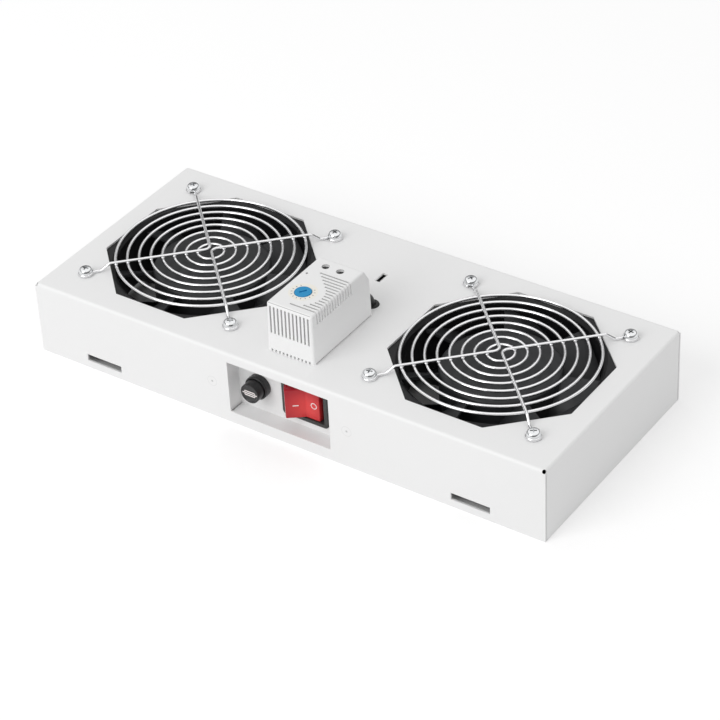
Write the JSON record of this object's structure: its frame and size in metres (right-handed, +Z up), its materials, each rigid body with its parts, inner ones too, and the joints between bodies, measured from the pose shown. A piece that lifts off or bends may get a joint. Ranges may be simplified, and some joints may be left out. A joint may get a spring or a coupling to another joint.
{
  "type": "rack fan tray",
  "caption": "Folded sheet-steel fan tray for a rack cabinet: axial fans under wire guards, a small thermostat on top, and a rocker switch and fuse holder in a front recess.",
  "frame": {"origin": "middle of the tray on the plane of its bottom rim", "axes": "+Z up out of the top with the wire guards, +X along the tray's length to the right seen from the front, -Y out of the front wall with the switch"},
  "size_m": [0.346, 0.148, 0.0811],
  "materials": {
    "painted_steel": "light grey fine powder coat",
    "zinc_steel": "zinc plated",
    "bright_wire": "bright nickel plated wire",
    "black_frame": "black satin paint on die-cast aluminium",
    "black_rotor": "dark grey moulding",
    "lamination": "varnished laminations",
    "shaft_steel": "ground steel",
    "black_plastic": "black moulded",
    "red_lens": "translucent red",
    "tinned_brass": "tinned",
    "fuse_glass": "clear glass tube with metal caps",
    "grey_plastic": "light grey moulded, fine grain",
    "blue_dial": "blue moulded",
    "bimetal": "rolled strip",
    "black_rubber": "matt",
    "cable_jacket": "satin black jacket",
    "red_sleeve": "insulating sleeve"
  },
  "bodies": {
    "tray": {"tray_panel": "painted_steel", "switch_bracket": "painted_steel", "bracket_studs": "painted_steel", "bracket_nuts": "zinc_steel", "switch_housing": "black_plastic", "switch_terminals": "tinned_brass", "fuse_holder": "black_plastic", "fuse_nut": "black_plastic", "fuse_terminals": "tinned_brass", "thermostat_base": "grey_plastic", "thermostat_cover": "grey_plastic", "thermostat_bimetal": "bimetal", "thermostat_terminals": "zinc_steel", "thermostat_screws": "zinc_steel", "lead_grommet": "black_rubber", "thermostat_lead": "cable_jacket", "lead_connector": "red_sleeve", "inlet_body": "black_plastic", "inlet_pins": "tinned_brass", "inlet_screws": "zinc_steel", "fan_left_frame": "black_frame", "fan_left_stator": "lamination", "fan_left_guard_rings": "bright_wire", "fan_left_guard_wires": "bright_wire", "fan_left_screws": "zinc_steel", "fan_left_nuts": "zinc_steel", "fan_right_frame": "black_frame", "fan_right_stator": "lamination", "fan_right_guard_rings": "bright_wire", "fan_right_guard_wires": "bright_wire", "fan_right_screws": "zinc_steel", "fan_right_nuts": "zinc_steel"},
    "rotor_left": {"fan_left_rotor": "black_rotor", "fan_left_shaft": "shaft_steel"},
    "rotor_right": {"fan_right_rotor": "black_rotor", "fan_right_shaft": "shaft_steel"},
    "rocker": {"switch_rocker": "red_lens"},
    "fuse_carrier": {"fuse_cap": "black_plastic", "fuse_link": "fuse_glass"},
    "dial": {"thermostat_dial": "blue_dial"}
  },
  "joints": [
    {"name": "fan_left_spin", "type": "hinge", "parent": "tray", "child": "rotor_left", "pos_m": [-0.1, 0.001, 0.03], "axis": [0, 0, 1], "continuous": true},
    {"name": "fan_right_spin", "type": "hinge", "parent": "tray", "child": "rotor_right", "pos_m": [0.1, 0.001, 0.03], "axis": [0, 0, 1], "continuous": true},
    {"name": "switch_rock", "type": "hinge", "parent": "tray", "child": "rocker", "pos_m": [0.0114, -0.061, 0.02475], "axis": [0, 0, -1], "range_deg": [0, 22]},
    {"name": "fuse_pull", "type": "slide", "parent": "tray", "child": "fuse_carrier", "axis": [0, -1, 0], "range_m": [0, 0.03]},
    {"name": "dial_turn", "type": "hinge", "parent": "tray", "child": "dial", "pos_m": [-0.0031, -0.0399, 0.07], "axis": [0, 0, 1], "range_deg": [-135, 135]}
  ]
}
